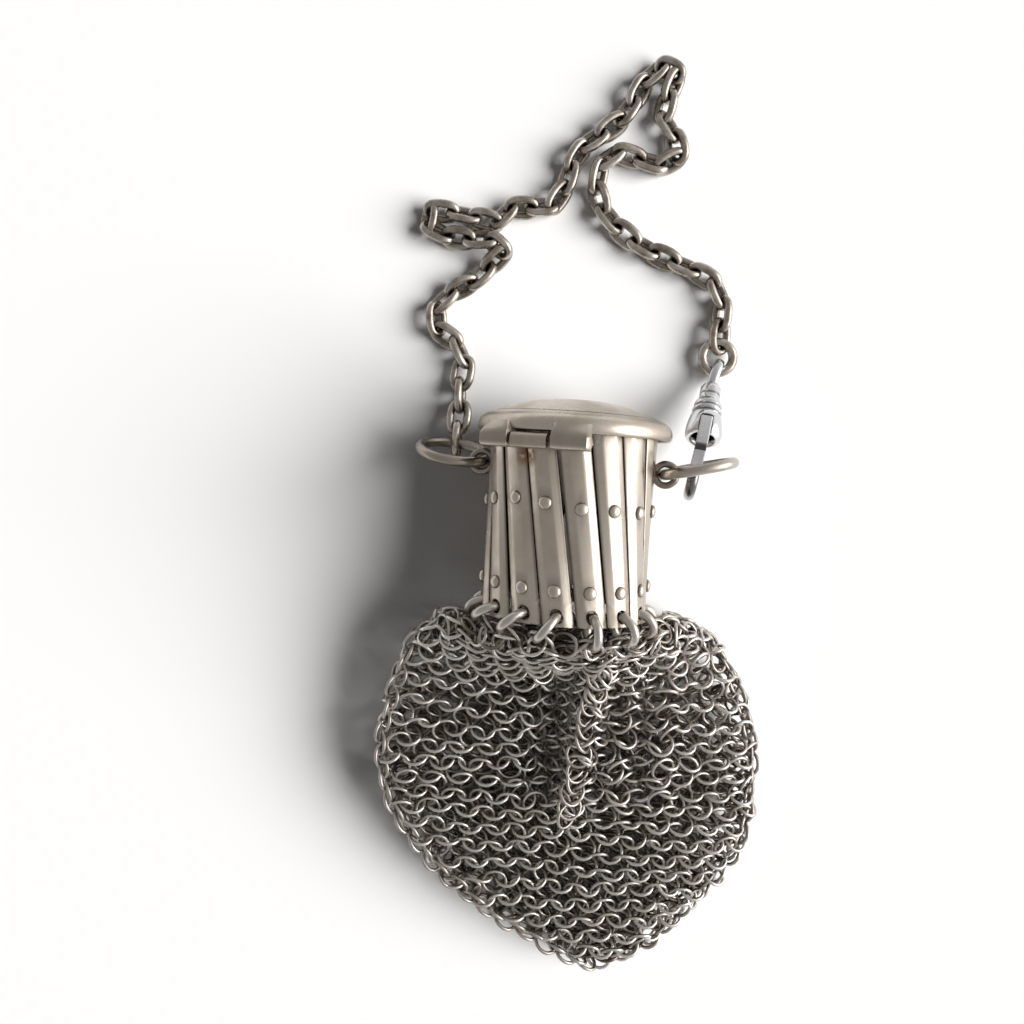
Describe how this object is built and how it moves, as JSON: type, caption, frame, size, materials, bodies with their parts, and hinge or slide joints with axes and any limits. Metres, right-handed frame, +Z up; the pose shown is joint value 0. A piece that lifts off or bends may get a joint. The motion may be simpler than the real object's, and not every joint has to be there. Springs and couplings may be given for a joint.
{
  "type": "mesh coin purse",
  "caption": "Ring-mail coin purse with an expanding collar of riveted slats, a hinged domed lid, a cable chain and a swivel clasp.",
  "frame": {"origin": "under the middle of the whole purse, at the level that it lies on", "axes": "+Z up from the table, +Y from the pouch's tip along the collar to the lid and chain, +X to the clasp's side"},
  "size_m": [0.068, 0.1622, 0.0356],
  "materials": {
    "collar_metal": "worn nickel silver, warm grey, tarnished in the gaps",
    "ring_metal": "worn nickel silver wire",
    "chain_metal": "dulled nickel silver wire, brownish grey",
    "mail_metal": "darkened silver wire",
    "clasp_metal": "bright plated"
  },
  "bodies": {
    "purse": {"slat_outer_01": "collar_metal", "slat_outer_02": "collar_metal", "slat_outer_03": "collar_metal", "slat_outer_04": "collar_metal", "slat_outer_05": "collar_metal", "slat_outer_06": "collar_metal", "slat_outer_07": "collar_metal", "slat_outer_08": "collar_metal", "slat_outer_09": "collar_metal", "slat_outer_10": "collar_metal", "slat_outer_11": "collar_metal", "slat_outer_12": "collar_metal", "slat_outer_13": "collar_metal", "slat_outer_14": "collar_metal", "slat_inner_01": "collar_metal", "slat_inner_02": "collar_metal", "slat_inner_03": "collar_metal", "slat_inner_04": "collar_metal", "slat_inner_05": "collar_metal", "slat_inner_06": "collar_metal", "slat_inner_07": "collar_metal", "slat_inner_08": "collar_metal", "slat_inner_09": "collar_metal", "slat_inner_10": "collar_metal", "slat_inner_11": "collar_metal", "slat_inner_12": "collar_metal", "slat_inner_13": "collar_metal", "slat_inner_14": "collar_metal", "mail_ring_01": "ring_metal", "mail_ring_02": "ring_metal", "mail_ring_03": "ring_metal", "mail_ring_04": "ring_metal", "mail_ring_05": "ring_metal", "mail_ring_06": "ring_metal", "mail_ring_07": "ring_metal", "mail_ring_08": "ring_metal", "mail_ring_09": "ring_metal", "mail_ring_10": "ring_metal", "mail_ring_11": "ring_metal", "mail_ring_12": "ring_metal", "mail_ring_13": "ring_metal", "mail_ring_14": "ring_metal", "hinge_pin": "collar_metal", "pouch": "mail_metal", "jump_ring_left": "ring_metal", "jump_ring_right": "ring_metal", "chain": "chain_metal", "chain_link_left": "chain_metal", "chain_link_right": "chain_metal", "chain_ring": "chain_metal", "clasp_body": "clasp_metal", "clasp_eye": "clasp_metal"},
    "lid": {"lid": "collar_metal"},
    "clasp_lever": {"clasp_lever": "clasp_metal"}
  },
  "joints": [
    {"name": "lid_hinge", "type": "hinge", "parent": "purse", "child": "lid", "pos_m": [-0.00692, 0.01331, 0.02999], "axis": [0.8888, -0.0622, 0.454], "range_deg": [0, 110]},
    {"name": "lever_pivot", "type": "hinge", "parent": "purse", "child": "clasp_lever", "pos_m": [0.02331, 0.01631, 0.00933], "axis": [0.9669, -0.2553, 0], "range_deg": [0, 10], "stiffness_Nm_per_rad": 0.002}
  ]
}
